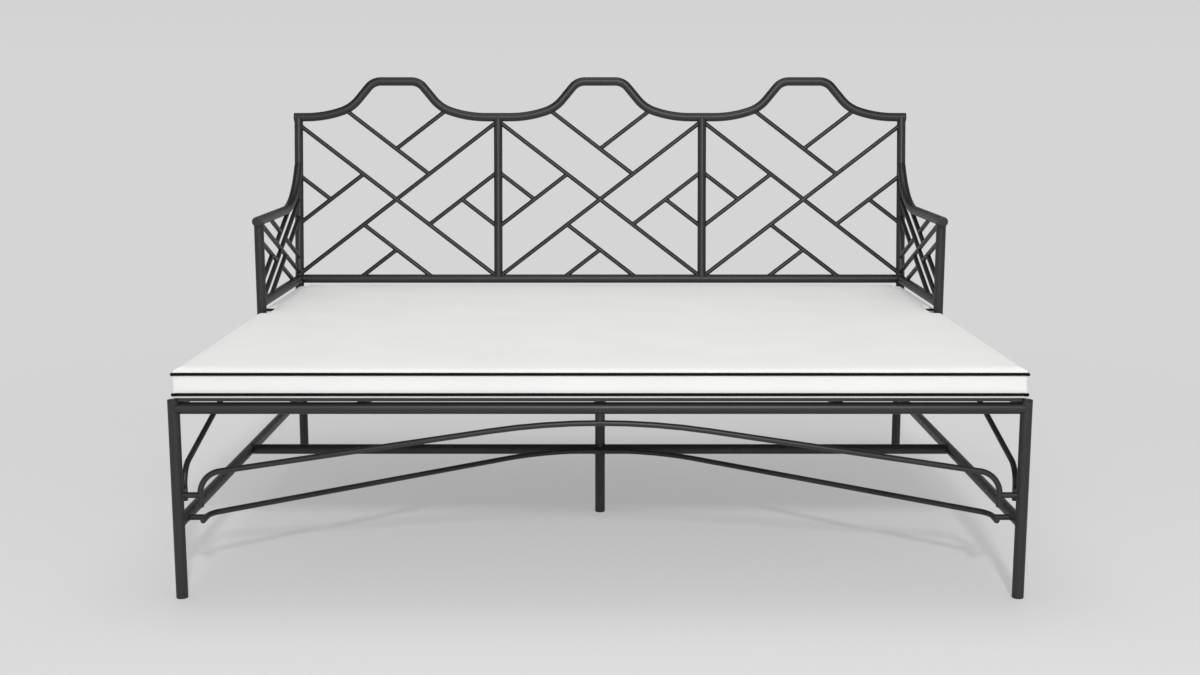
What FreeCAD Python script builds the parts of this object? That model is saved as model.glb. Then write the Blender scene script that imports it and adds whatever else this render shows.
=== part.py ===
import FreeCAD, Part

import math
import os

from FreeCAD import Vector

# A daybed of round steel tube, with a latticed back under a crest rail of three humps, latticed arms
# beside the rear half of the seat, five legs, hooked arch rods under the seat rails, a bow rod at
# stretcher height, and one piped mattress that lies loose on a deck of flat straps.
# Millimetres. X runs to the right seen from the front, Y towards the back, Z up. Depths are measured
# from the front leg axes; the finished pieces are moved so that the origin lies on the floor under
# the middle of the whole.

# Main frame
leg_spacing = 1804.6  # left leg axis to right leg axis
leg_depth = 1378.0  # front leg axis to rear leg axis
rail_height = 418.0  # axis of the front and rear seat rails above the floor
leg_stand = 18.5  # leg top above the seat rail axis
deck_rise = 3.0  # side rail and beam axes above the seat rail axis
beam_spacing = 506.0  # middle beam axis to an outer beam axis

# Stock
tube_diameter = 25.4
tube_wall = 1.6
rod_diameter = 12.7
weld_gap = 0.05  # root gap between welded pieces
plug_fit = 0.05  # between a plug and the bore it is driven into
tube_facets = 16  # flats round a tube
rod_facets = 12  # flats round a rod
facet_turn = 15.0  # degrees, the most that a bend turns from ring to ring
facet_sagitta = 0.6  # the most that a bend's flats cut inside its arc

# Feet and end plugs
glide_flange = 2.4
glide_plug = 14.0
cap_thickness = 2.0
spigot_length = 60.0  # bent bar inside the rear leg and the back post, each way from the bend

# Deck straps
strap_width = 40.0
strap_thickness = 5.6
strap_count = 12
deck_overhang = 6.0  # first strap ahead of the front leg axes
deck_rear_clearance = 25.0  # last strap's rear edge ahead of the rear leg axes
strap_clearance = 0.5  # round the arm posts and leg caps

# Rods below the seat
arch_gap = 13.5  # clear space between the front rail and the top of its arch
front_arch_inset = 48.9  # arch hook axis inside the leg axis
side_arch_inset = 56.3
front_arch_drop = 111.3  # from the crown down to the hook's corner
side_arch_drop = 113.5
front_crown_share = 0.138  # of the hook's reach, where the sloping runs would meet the crown line
side_crown_share = 0.244
hook_radius = 50.0
front_hook_tail = 29.5
side_hook_tail = 31.8
stub_rise = 26.4  # stub axis above the hook's foot
stretcher_gap = 22.2  # from the side arch's feet down to the side stretcher
cross_advance = 13.0  # cross stretcher and centre leg ahead of mid depth
bow_inset = 46.7  # bow hook axis inside the leg axis
bow_setback = 77.4  # bow hook's corner behind the front leg axes
bow_crown_share = 0.1547
bow_tail = 33.7
bow_stub_setback = 27.3  # bow stub axis behind the hook's end

# Mattress
mattress_thickness = 63.4
mattress_clearance = 0.3  # above the deck straps
mattress_overhang = 6.0  # front edge ahead of the front leg axes
mattress_rear_overhang = 13.0  # rear edge behind the rear leg axes
mattress_side_overhang = 1.2  # side edge outside the leg axis
mattress_corner_radius = 6.0
cover_thickness = 3.0
core_clearance = 0.2
seam_height = 9.1  # lower seam above the underside
crown_rise = 10.7  # top above the upper seam
crown_width = 13.0
crown_steps = 3
corner_steps = 3
side_draw = 2.0  # sides drawn in between the seams
base_tuck = 3.0
piping_diameter = 5.5
piping_clearance = 0.3
notch_inset = 22.0  # notch wall inside the leg axis
notch_front_gap = 50.0  # arm post axis to the notch's front wall
notch_rear_gap = 63.0  # arm post axis to the notch's rear wall
corner_notch_gap = 9.0  # ahead of the back post's face

# Back
back_recline = 7.43  # degrees from upright
back_rail_gap = 3.3  # between the mattress and the back's bottom rail
valley_rise = 483.1  # bottom rail axis to the crest's low stretches, along the back
hump_rise = 106.4  # low stretches to the top of a hump, along the back
crest_overhang = 13.3  # crest end beyond the outer post axis
bay_count = 3
hump_slope = 50.4  # degrees, steepest stretch of a hump
hump_foot_slope = 18.6  # degrees, where the tight foot bend hands over to the long one
hump_flat_share = 0.149  # of half a bay, each side of a hump's middle
hump_shoulder_share = 0.157  # bend radius
hump_foot_share = 0.367  # tight bend radius at the foot
hump_sweep_share = 1.091  # long bend radius at the foot
back_lattice_centre_share = 0.492  # of the valley rise, height of the crossing
back_lattice_height_share = 0.485  # of the valley rise, crossing to a corner
back_lattice_offset_share = 0.644  # of half a bay, sideways from a diagonal to its parallel

# Arms
arm_depth = 512.0  # arm post axis ahead of the rear leg axis
arm_height = 219.0  # bottom rail axis to arm rail axis
arm_overhang = 24.0  # arm rail end ahead of the arm post axis
arm_sweep_radius = 262.6
arm_sweep_angle = 59.2  # degrees
arm_lattice_centre_share = 0.5156  # of the depth between the posts
arm_lattice_lift_share = 0.03  # of the arm height, rise of the lattice towards the back
arm_lattice_offset_share = 0.44

# Derived sizes
tube_radius = tube_diameter / 2
bore_radius = tube_radius - tube_wall
rod_radius = rod_diameter / 2
half_spacing = leg_spacing / 2
mid_depth = leg_depth / 2
cross_depth = mid_depth - cross_advance
leg_top = rail_height + leg_stand
deck_axis = rail_height + deck_rise
strap_base = deck_axis + tube_radius
mattress_base = strap_base + strap_thickness + mattress_clearance
mattress_top = mattress_base + mattress_thickness
back_rail_height = mattress_top + back_rail_gap + tube_radius
recline = math.radians(back_recline)
back_foot = leg_depth + (back_rail_height - leg_top) * math.tan(recline)
half_crest = half_spacing + crest_overhang
bay = 2 * half_crest / bay_count
arch_peak = rail_height - tube_radius - arch_gap - rod_radius
arm_post_depth = leg_depth - arm_depth
arm_rail_height = back_rail_height + arm_height
whole_back = back_foot + (valley_rise + hump_rise) * math.sin(recline) + tube_radius
middle_depth = (whole_back - tube_radius) / 2
sides = {"left": -half_spacing, "right": half_spacing}
nodes = {}


def keep(name, *shapes):
    """File the solids of one named piece."""
    nodes[name] = [solid for shape in shapes for solid in shape.Solids]


class Plane:
    """A flat working plane with an origin, an across direction and an up direction."""

    def __init__(self, origin, across, up):
        self.origin = origin
        self.across = across
        self.up = up
        self.normal = across.cross(up)

    def at(self, across, up):
        return self.origin + self.across * across + self.up * up


def front_plane(depth):
    return Plane(Vector(0, depth, 0), Vector(1, 0, 0), Vector(0, 0, 1))


def side_plane(across):
    return Plane(Vector(across, 0, 0), Vector(0, 1, 0), Vector(0, 0, 1))


def level_plane(height):
    return Plane(Vector(0, 0, height), Vector(1, 0, 0), Vector(0, 1, 0))


back_plane = Plane(
    Vector(0, back_foot, back_rail_height),
    Vector(1, 0, 0),
    Vector(0, math.sin(recline), math.cos(recline)),
)


# Bars and tubes
def straight(*points):
    return Part.makePolygon(list(points))


def bent(plane, start, heading, moves):
    """Walk a path as a tube bender does, each move a straight length and then an arc.

    A move is (length, radius, turn), with the turn in degrees and positive to the left.
    """
    across, up = start
    angle = math.radians(heading)
    edges = []
    for length, radius, turn in moves:
        if length > 0:
            begin = plane.at(across, up)
            across += length * math.cos(angle)
            up += length * math.sin(angle)
            edges.append(Part.LineSegment(begin, plane.at(across, up)).toShape())
        if turn:
            side = math.copysign(radius, turn)
            centre = (across - side * math.sin(angle), up + side * math.cos(angle))
            stops = [angle + math.radians(turn) * share for share in (0, 0.5, 1)]
            points = [
                plane.at(centre[0] + side * math.sin(stop), centre[1] - side * math.cos(stop))
                for stop in stops
            ]
            edges.append(Part.Arc(*points).toShape())
            angle = stops[-1]
            across = centre[0] + side * math.sin(angle)
            up = centre[1] - side * math.cos(angle)
    return Part.Wire(edges)


def faceted(path, plane, radius, facets):
    """Return a solid bar with flats in place of its round, ruled from ring to ring along its path."""
    rings = []
    for edge in path.Edges:
        first, last = edge.FirstParameter, edge.LastParameter
        steps = 1 if isinstance(edge.Curve, Part.Line) else bend_steps(edge.Curve.Radius, last - first)
        for step in range(1 if rings else 0, steps + 1):
            stop = first + (last - first) * step / steps
            rings.append(ring(edge.valueAt(stop), edge.tangentAt(stop), plane.normal, radius, facets))
    if len(rings) == 2:
        return Part.Face(rings[0]).extrude(edge.valueAt(last) - edge.valueAt(first))
    return Part.makeLoft(rings, True, True)


def bend_steps(radius, turn):
    by_sagitta = 2 * math.acos(1 - facet_sagitta / radius)
    return math.ceil(turn / min(by_sagitta, math.radians(facet_turn)))


def ring(centre, heading, normal, radius, facets):
    side = heading.cross(normal)
    corners = []
    for index in range(facets):
        angle = 2 * math.pi * index / facets
        corners.append(centre + (normal * math.cos(angle) + side * math.sin(angle)) * radius)
    return Part.makePolygon(corners + corners[:1])


def middle_of(path):
    edge = path.Edges[len(path.Edges) // 2]
    return edge.valueAt((edge.FirstParameter + edge.LastParameter) / 2)


def coped(piece, cutters, middle):
    """Cut a piece to the neighbours it meets and keep the length that passes nearest to middle."""
    near = [cutter for cutter in cutters if cutter.BoundBox.intersect(piece.BoundBox)]
    if near:
        piece = piece.cut(near)
    probe = Part.Vertex(middle)
    return min(piece.Solids, key=lambda solid: solid.distToShape(probe)[0])


class Bar:
    """One coped tube or rod, with the envelope that its neighbours are cut to."""

    def __init__(self, path, plane, radius, facets, bore, cutters):
        self.envelope = faceted(path, plane, radius + weld_gap, facets)
        piece = faceted(path, plane, radius, facets)
        if bore:
            piece = piece.cut(faceted(path, plane, bore, facets))
        self.shape = coped(piece, list(cutters), middle_of(path))


def tube(path, plane, *cutters):
    """Return a tube that nothing opens, left solid inside."""
    return Bar(path, plane, tube_radius, tube_facets, 0, cutters)


def open_tube(path, plane, *cutters):
    """Return a tube with its bore, for glides and spigots to enter."""
    return Bar(path, plane, tube_radius, tube_facets, bore_radius, cutters)


def rod(path, plane, *cutters):
    return Bar(path, plane, rod_radius, rod_facets, 0, cutters)


def disc(seat, outward, plane):
    """Return the flat disc that closes a tube's end."""
    return faceted(straight(seat, seat + outward * cap_thickness), plane, tube_radius, tube_facets)


def glide(x, y):
    """Return a foot glide, a flange under the leg with a shank driven into its bore."""
    foot = Vector(x, y, 0)
    up = Vector(0, 0, 1)
    plane = front_plane(y)
    flange = faceted(straight(foot, foot + up * glide_flange), plane, tube_radius, tube_facets)
    path = straight(foot, foot + up * (glide_flange + glide_plug))
    return flange.fuse(faceted(path, plane, bore_radius - plug_fit, tube_facets)).removeSplitter()


# Legs, feet, seat rails and beams
def stand(x, y, top):
    """Return the vertical path of a leg between its glide and its top."""
    return straight(Vector(x, y, glide_flange), Vector(x, y, top))


def tall_envelope(x, y):
    """Return what the rails beside a leg are cut to, carried on above the leg's top."""
    path = stand(x, y, leg_top + tube_diameter)
    return faceted(path, front_plane(y), tube_radius + weld_gap, tube_facets)


def build_frame():
    """Build the legs, seat rails, side rails and beams, and return what others meet."""
    legs = {}
    corners = {}
    glides = [glide(0, cross_depth)]
    for side, x in sides.items():
        for place, y, top in (("front", 0, leg_top - cap_thickness), ("rear", leg_depth, leg_top)):
            legs[place, side] = open_tube(stand(x, y, top), front_plane(y))
            corners[place, side] = tall_envelope(x, y)
            glides.append(glide(x, y))
            keep(f"{place}_leg_{side}", legs[place, side].shape)
    keep("foot_glides", *glides)
    cap_seats = [Vector(x, 0, leg_top - cap_thickness) for x in sides.values()]
    keep("leg_caps", *[disc(seat, Vector(0, 0, 1), front_plane(0)) for seat in cap_seats])

    rails = {}
    heads = []
    for place, y in (("front", 0), ("rear", leg_depth)):
        plane = front_plane(y)
        ends = [corners[place, side] for side in sides]
        rails[place] = tube(front_rail_path(y, rail_height), plane, *ends)
        head_path = front_rail_path(y, deck_axis)
        heads.append(faceted(head_path, plane, tube_radius + weld_gap, tube_facets))
        keep(f"{place}_seat_rail", rails[place].shape)
    crossings = [rail.envelope for rail in rails.values()]
    for side, x in sides.items():
        ends = [corners[place, side] for place in ("front", "rear")]
        rails[side] = tube(depth_path(x, deck_axis), side_plane(x), *ends, *crossings)
        keep(f"side_rail_{side}", rails[side].shape)
    for name, x in (("left", -beam_spacing), ("centre", 0), ("right", beam_spacing)):
        rails[f"beam_{name}"] = tube(depth_path(x, deck_axis), side_plane(x), *crossings, *heads)
        keep(f"deck_beam_{name}", rails[f"beam_{name}"].shape)

    beam = rails["beam_centre"].envelope
    legs["centre"] = open_tube(stand(0, cross_depth, deck_axis), front_plane(cross_depth), beam)
    keep("centre_leg", legs["centre"].shape)
    return legs, rails


def front_rail_path(y, height):
    return straight(Vector(-half_spacing, y, height), Vector(half_spacing, y, height))


def depth_path(x, height):
    return straight(Vector(x, 0, height), Vector(x, leg_depth, height))


# Hooked arches and the bow
class Arch:
    """The bends of a hooked arch, worked out from its reach, its drop and its crown."""

    def __init__(self, reach, drop, crown_share, tail):
        level_run = reach * (1 - crown_share)
        slope = math.atan2(drop, level_run)
        turn = math.pi / 2 - slope
        crown_tangent = reach * crown_share
        hook_tangent = hook_radius * math.tan(turn / 2)
        run = math.hypot(drop, level_run) - crown_tangent - hook_tangent
        self.reach = reach
        self.foot_drop = drop + hook_tangent + tail
        hook = (tail, hook_radius, -math.degrees(turn))
        crown = (run, crown_tangent / math.tan(slope / 2), -2 * math.degrees(slope))
        leave = (run, hook_radius, -math.degrees(turn))
        self.moves = [hook, crown, leave, (tail, 0, 0)]

    def path(self, plane, peak):
        return bent(plane, (-self.reach, peak - self.foot_drop), math.degrees(math.pi / 2), self.moves)


def build_arches(legs, rails):
    """Build the four arches with their stubs, and return the height of the side arches' feet."""
    front_arch = Arch(half_spacing - front_arch_inset, front_arch_drop, front_crown_share, front_hook_tail)
    for place, y in (("front", 0), ("rear", leg_depth)):
        plane = front_plane(y)
        posts = [legs[place, side].envelope for side in sides]
        hang_arch(f"{place}_arch", front_arch, plane, half_spacing, posts, rails[place], rail_height)
    side_arch = Arch(mid_depth - side_arch_inset, side_arch_drop, side_crown_share, side_hook_tail)
    for side, x in sides.items():
        plane = side_plane(x)
        plane.origin = Vector(x, mid_depth, 0)
        posts = [legs[place, side].envelope for place in ("front", "rear")]
        hang_arch(f"side_arch_{side}", side_arch, plane, mid_depth, posts, rails[side], deck_axis)
    return arch_peak - side_arch.foot_drop


def hang_arch(name, arch, plane, post_reach, posts, rail, rail_axis):
    """Add an arch, the stub that ties its crown to the rail and the stubs from its hooks to the legs."""
    bar = rod(arch.path(plane, arch_peak), plane)
    stub_height = arch_peak - arch.foot_drop + stub_rise
    crown_path = straight(plane.at(0, arch_peak), plane.at(0, rail_axis))
    stubs = [rod(crown_path, plane, bar.envelope, rail.envelope)]
    for sign, post in zip((-1, 1), posts):
        start = plane.at(sign * arch.reach, stub_height)
        end = plane.at(sign * post_reach, stub_height)
        stubs.append(rod(straight(start, end), plane, bar.envelope, post))
    keep(name, bar.shape)
    keep(f"{name}_stubs", *[stub.shape for stub in stubs])


def build_stretchers(legs, height):
    """Build the side and cross stretchers and the bow rod that curves from side to side in front."""
    stretchers = {}
    centre = legs["centre"].envelope
    for side, x in sides.items():
        ends = [legs[place, side].envelope for place in ("front", "rear")]
        stretchers[side] = tube(depth_path(x, height), side_plane(x), *ends)
        keep(f"side_stretcher_{side}", stretchers[side].shape)
        path = straight(Vector(x, cross_depth, height), Vector(0, cross_depth, height))
        cross = tube(path, front_plane(cross_depth), stretchers[side].envelope, centre)
        keep(f"cross_stretcher_{side}", cross.shape)

    plane = level_plane(height)
    reach = half_spacing - bow_inset
    peak = cross_depth - tube_radius - rod_radius - weld_gap
    bow = Arch(reach, peak - bow_setback, bow_crown_share, bow_tail)
    bar = rod(bow.path(plane, peak), plane)
    stub_depth = peak - bow.foot_drop + bow_stub_setback
    stubs = []
    for side, x in sides.items():
        path = straight(plane.at(math.copysign(reach, x), stub_depth), plane.at(x, stub_depth))
        stubs.append(rod(path, plane, bar.envelope, stretchers[side].envelope))
    keep("bow_rod", bar.shape)
    keep("bow_rod_stubs", *[stub.shape for stub in stubs])


# Latticework
def lattice(place, plane, offset, frame, reach):
    """Return the eleven rods of one panel, each cut to the rod it rests on and to the frame.

    place maps the panel's shares, from -1 to 1 each way, to a point. offset is the share from a
    diagonal to its parallels. reach is how far a rod is carried on before it is cut to the frame.
    """
    half_pattern = [
        ("half", (0, 0), (1, 1), "long"),
        ("upper", (offset / 2, offset / 2), (offset - 1, 1), "half"),
        ("short", (0, offset), (1 - offset, 1), "upper"),
        ("side", (offset / 2, -offset / 2), (1, 1 - offset), "long"),
        ("tail", (offset, 0), (1, offset - 1), "side"),
    ]
    long_rod = rod(lengthened(place(-1, 1), place(1, -1), reach, reach), plane, *frame)
    rods = [long_rod]
    for sign in (1, -1):
        placed = {"long": long_rod}
        for name, inner, outer, rest in half_pattern:
            start = place(sign * inner[0], sign * inner[1])
            end = place(sign * outer[0], sign * outer[1])
            path = lengthened(start, end, rod_diameter, reach)
            placed[name] = rod(path, plane, placed[rest].envelope, *frame)
            rods.append(placed[name])
    return [bar.shape for bar in rods]


def lengthened(start, end, before, after):
    along = (end - start).normalize()
    return straight(start - along * before, end + along * after)


# Back
def crest_path():
    """Return the crest rail's path, one hump a bay, between its end plugs."""
    half_bay = bay / 2
    shoulder = hump_shoulder_share * half_bay
    foot = hump_foot_share * half_bay
    sweep = hump_sweep_share * half_bay
    flat = hump_flat_share * half_bay
    steep = math.radians(hump_slope)
    gentle = math.radians(hump_foot_slope)
    bends_rise = (
        shoulder * (1 - math.cos(steep))
        + foot * (math.cos(gentle) - math.cos(steep))
        + sweep * (1 - math.cos(gentle))
    )
    climb = (hump_rise - bends_rise) / math.sin(steep)
    bends_run = (
        shoulder * math.sin(steep)
        + foot * (math.sin(steep) - math.sin(gentle))
        + sweep * math.sin(gentle)
    )
    lead = half_bay - flat - bends_run - climb * math.cos(steep)
    tight_turn = hump_slope - hump_foot_slope
    hump = [
        (0, foot, tight_turn),
        (climb, shoulder, -hump_slope),
        (2 * flat, shoulder, -hump_slope),
        (climb, foot, tight_turn),
        (0, sweep, hump_foot_slope),
    ]
    moves = []
    for index in range(bay_count):
        approach = 2 * lead if index else lead - cap_thickness
        moves += [(approach, sweep, hump_foot_slope), *hump]
    moves.append((lead - cap_thickness, 0, 0))
    return bent(back_plane, (cap_thickness - half_crest, valley_rise), 0, moves)


def build_back(legs):
    """Build the back and return its bottom rail and outer posts."""
    crest = tube(crest_path(), back_plane)
    keep("crest_rail", crest.shape)
    keep("crest_caps", *[
        disc(back_plane.at(sign * (half_crest - cap_thickness), valley_rise), Vector(sign, 0, 0), back_plane)
        for sign in (-1, 1)
    ])
    posts = {}
    foot_drop = (back_rail_height - leg_top) / math.cos(recline)
    for side, x in sides.items():
        path = straight(back_plane.at(x, -foot_drop - tube_radius), back_plane.at(x, valley_rise))
        crest_end = back_plane.at(math.copysign(half_crest + tube_radius, x), valley_rise)
        over = straight(back_plane.at(x, valley_rise), crest_end)
        beyond = faceted(over, back_plane, tube_radius + weld_gap, tube_facets)
        posts[side] = open_tube(path, back_plane, crest.envelope, beyond, room_below(x))
        keep(f"back_post_{side}", posts[side].shape)
        keep(f"back_spigot_{side}", spigot(x, back_plane.at(x, -foot_drop)))
    ends = [posts[side].envelope for side in sides]
    rail_path = straight(back_plane.at(-half_spacing, 0), back_plane.at(half_spacing, 0))
    rail = tube(rail_path, back_plane, *ends)
    keep("back_bottom_rail", rail.shape)
    uprights = list(ends)
    for side, x in (("left", -bay / 2), ("right", bay / 2)):
        path = straight(back_plane.at(x, 0), back_plane.at(x, valley_rise))
        post = tube(path, back_plane, rail.envelope, crest.envelope)
        uprights.append(post.envelope)
        keep(f"inner_post_{side}", post.shape)
    frame = [rail.envelope, crest.envelope, *uprights]
    for name, centre in (("left", -bay), ("centre", 0), ("right", bay)):
        panel = lattice(back_panel(centre), back_plane, back_lattice_offset_share, frame, hump_rise)
        keep(f"back_lattice_{name}", *panel)
    return rail, posts


def back_panel(centre):
    """Return the map from a back panel's shares to its points."""
    def place(across, up):
        height = back_lattice_centre_share + back_lattice_height_share * up
        return back_plane.at(centre + across * bay / 2, valley_rise * height)
    return place


def room_below(x):
    """Return the block that trims a back post level with the top of its rear leg."""
    corner = Vector(x - tube_diameter, leg_depth - tube_diameter, leg_top - tube_diameter)
    return Part.makeBox(tube_diameter * 2, tube_diameter * 2, tube_diameter, corner)


def spigot(x, bend):
    """Return the bent bar that joins a back post to its rear leg."""
    foot = Vector(x, leg_depth, leg_top - spigot_length)
    path = straight(foot, bend, bend + back_plane.up * spigot_length)
    return faceted(path, side_plane(x), bore_radius - plug_fit, tube_facets)


# Arms
def build_arms(rails, back_rail, posts):
    """Build both arms, each a post on the side rail, a bottom rail, a swept arm rail and a lattice."""
    caps = []
    for side, x in sides.items():
        plane = side_plane(x)
        back_post = posts[side].envelope
        sweep = math.radians(arm_sweep_angle)
        landing = arm_rail_height + arm_sweep_radius * (1 - math.cos(sweep))
        landing_depth = back_foot + (landing - back_rail_height) * math.tan(recline)
        front = arm_post_depth - arm_overhang + cap_thickness
        run = landing_depth - arm_sweep_radius * math.sin(sweep) - front
        path = bent(plane, (front, arm_rail_height), 0, [(run, arm_sweep_radius, arm_sweep_angle)])
        rail = tube(path, plane, back_post)
        foot = Vector(x, arm_post_depth, deck_axis)
        head = Vector(x, arm_post_depth, arm_rail_height)
        post = tube(straight(foot, head), plane, rails[side].envelope, rail.envelope)
        ends = [plane.at(depth, back_rail_height) for depth in (arm_post_depth, back_foot)]
        low_rail = tube(straight(*ends), plane, post.envelope, back_post, back_rail.envelope)
        frame = [rail.envelope, post.envelope, low_rail.envelope, back_post, back_rail.envelope]
        keep(f"arm_rail_{side}", rail.shape)
        keep(f"arm_post_{side}", post.shape)
        keep(f"arm_bottom_rail_{side}", low_rail.shape)
        panel = lattice(arm_panel(plane), plane, arm_lattice_offset_share, frame, arm_height / 2)
        keep(f"arm_lattice_{side}", *panel)
        caps.append(disc(plane.at(front, arm_rail_height), Vector(0, -1, 0), plane))
    keep("arm_rail_caps", *caps)


def arm_panel(plane):
    """Return the map from an arm panel's shares to its points, mirrored so that it rises to the back."""
    half_length = (back_foot - arm_post_depth) * arm_lattice_centre_share
    centre = arm_post_depth + half_length
    lift = arm_height * arm_lattice_lift_share
    half_height = arm_height / 2

    def place(across, up):
        height = back_rail_height + half_height + lift + half_height * up - lift * across
        return plane.at(centre - across * half_length, height)
    return place


# Deck
def build_deck():
    """Lay the flat straps across the side rails and beams, hollowed round the arm posts and leg caps."""
    first = -deck_overhang
    last = leg_depth - deck_rear_clearance - strap_width
    pitch = (last - first) / (strap_count - 1)
    hollows = []
    for x in sides.values():
        for depth in (0, arm_post_depth):
            foot = Vector(x, depth, strap_base)
            path = straight(foot, foot + Vector(0, 0, strap_thickness))
            hollows.append(faceted(path, side_plane(x), tube_radius + strap_clearance, tube_facets))
    straps = []
    for index in range(strap_count):
        corner = Vector(-half_spacing, first + pitch * index, strap_base)
        strap = Part.makeBox(leg_spacing, strap_width, strap_thickness, corner)
        straps.append(strap.cut(hollows))
    keep("deck_straps", *straps)


# Mattress
def mattress_outline(inset, height):
    """Return the plan outline, with a notch each side for the arm post and a cut rear corner."""
    edge = half_spacing + mattress_side_overhang
    wall = half_spacing - notch_inset
    front = -mattress_overhang
    rear = leg_depth + mattress_rear_overhang
    notch_front = arm_post_depth - notch_front_gap
    notch_rear = arm_post_depth + notch_rear_gap
    corner = leg_depth - tube_radius - corner_notch_gap
    spread = max(-inset, 0)
    right = [
        (edge, front, 1, mattress_corner_radius + spread),
        (edge, notch_front, -1, 0),
        (wall, notch_front, -1, 0),
        (wall, notch_rear, 1, 0),
        (edge, notch_rear, 1, 0),
        (edge, corner, -1, 0),
        (wall, corner, -1, 0),
        (wall, rear, -1, mattress_corner_radius + spread),
    ]
    loop = [(x - inset, y + inset * way, radius) for x, y, way, radius in right]
    loop += [(-x, y, radius) for x, y, radius in reversed(loop)]
    return rounded(loop, height)


def rounded(corners, height):
    """Return a closed level polygon through corners of (x, y, radius), each square or eased by chords."""
    points = []
    for index, (x, y, radius) in enumerate(corners):
        here = Vector(x, y, height)
        if not radius:
            points.append(here)
            continue
        before = (Vector(*corners[index - 1][:2], height) - here).normalize() * radius
        after = (Vector(*corners[(index + 1) % len(corners)][:2], height) - here).normalize() * radius
        centre = here + before + after
        for step in range(corner_steps + 1):
            turn = math.pi / 2 * step / corner_steps
            points.append(centre - after * math.cos(turn) - before * math.sin(turn))
    return Part.makePolygon(points + points[:1])


def mattress_form(shrink, steps):
    """Return the cushion form, sides drawn in between the seams and the top crowned in from its edge."""
    low_seam = mattress_base + seam_height
    high_seam = mattress_top - crown_rise
    levels = [
        (mattress_base + shrink, base_tuck),
        (low_seam, 0),
        ((low_seam + high_seam) / 2, side_draw),
        (high_seam - shrink, 0),
    ]
    for step in range(1, steps + 1):
        turn = math.pi / 2 * step / steps
        levels.append((
            high_seam - shrink + crown_rise * math.sin(turn),
            crown_width * (1 - math.cos(turn)),
        ))
    wires = [mattress_outline(inset + shrink, height) for height, inset in levels]
    return Part.makeLoft(wires, True, True)


def piping(height):
    """Return a cord of six flats sewn round the mattress at a seam."""
    radius = piping_diameter / 2
    axis = radius + piping_clearance
    flat = radius * math.cos(math.pi / 6)
    rings = []
    for way in (1, -1):
        levels = ((-flat, radius / 2), (0, radius), (flat, radius / 2))
        wires = [mattress_outline(-axis - way * reach, height + rise) for rise, reach in levels]
        rings.append(Part.makeLoft(wires, True, True))
    return rings[0].cut(rings[1])


def build_mattress():
    """Build the cover, its foam core and the two lines of piping."""
    keep("mattress_cover", mattress_form(0, crown_steps).cut(mattress_form(cover_thickness, 1)))
    keep("mattress_core", mattress_form(cover_thickness + core_clearance, 1))
    keep("piping_lower", piping(mattress_base + seam_height))
    keep("piping_upper", piping(mattress_top - crown_rise))


def build_all():
    legs, rails = build_frame()
    side_feet = build_arches(legs, rails)
    build_stretchers(legs, side_feet - stretcher_gap - tube_radius)
    back_rail, posts = build_back(legs)
    build_arms(rails, back_rail, posts)
    build_deck()
    build_mattress()


def write_parts():
    os.makedirs("parts", exist_ok=True)
    for name, solids in nodes.items():
        shape = Part.makeCompound(solids) if len(solids) > 1 else solids[0]
        shape.translate(Vector(0, -middle_depth, 0))
        shape.exportStep(f"parts/{name}.step")
        if not shape.isValid():
            print("not valid:", name)
    print(len(nodes), "nodes,", sum(len(solids) for solids in nodes.values()), "solids")


build_all()
write_parts()
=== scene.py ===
"""Dresses the daybed's steelwork and mattress around the fixed frame, in metres and on the CAD's axes."""

import logging
import math
from abc import ABC, abstractmethod
from dataclasses import dataclass, field
from enum import Enum
from functools import lru_cache
from typing import Callable, Iterable, Optional, Sequence

import bmesh
import bpy
import numpy as np
from bpy.types import GeometryNodeTree, Material, Mesh, Node, NodeSocket, NodeTree, Object
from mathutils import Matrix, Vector


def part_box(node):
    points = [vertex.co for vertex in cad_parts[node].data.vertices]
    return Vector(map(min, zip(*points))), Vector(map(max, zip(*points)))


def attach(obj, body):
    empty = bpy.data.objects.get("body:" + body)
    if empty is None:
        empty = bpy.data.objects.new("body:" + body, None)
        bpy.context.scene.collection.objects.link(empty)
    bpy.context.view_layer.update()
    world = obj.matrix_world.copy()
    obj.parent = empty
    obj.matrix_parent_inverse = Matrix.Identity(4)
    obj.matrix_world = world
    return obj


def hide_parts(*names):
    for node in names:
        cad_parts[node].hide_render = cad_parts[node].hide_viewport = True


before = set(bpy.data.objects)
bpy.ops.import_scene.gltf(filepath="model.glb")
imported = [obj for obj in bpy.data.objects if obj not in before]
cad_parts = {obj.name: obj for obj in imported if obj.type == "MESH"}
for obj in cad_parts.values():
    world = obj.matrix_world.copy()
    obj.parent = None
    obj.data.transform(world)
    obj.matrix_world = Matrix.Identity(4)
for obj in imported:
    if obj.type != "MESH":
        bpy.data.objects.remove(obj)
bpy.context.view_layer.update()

LOG = logging.getLogger("daybed")
MM = 0.001
TINY = 1e-9
BEND_STEP = 2.2  # degrees of a bend from point to point
SMOOTH_LIMIT = 40.0  # degrees between two faces that are still shaded as one
WAVE_PERIOD = 0.314  # metres from wave to wave in a wave texture of scale one
SIDES = ("left", "right")
ACROSS, BACK, UP = Vector((1, 0, 0)), Vector((0, 1, 0)), Vector((0, 0, 1))


# Small tools
def linear(hex_colour: str) -> tuple[float, float, float, float]:
    """Turn an sRGB hex colour into the linear colour that a shader socket takes.

    Args:
        hex_colour: Six hex digits, with or without a leading hash.

    Returns:
        Red, green, blue and an alpha of one.
    """
    digits = hex_colour.lstrip("#")
    channels = [int(digits[i : i + 2], 16) / 255 for i in (0, 2, 4)]
    # the sRGB curve is straight near black and a power above it
    bent = [c / 12.92 if c <= 0.04045 else ((c + 0.055) / 1.055) ** 2.4 for c in channels]
    return (bent[0], bent[1], bent[2], 1.0)


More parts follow.
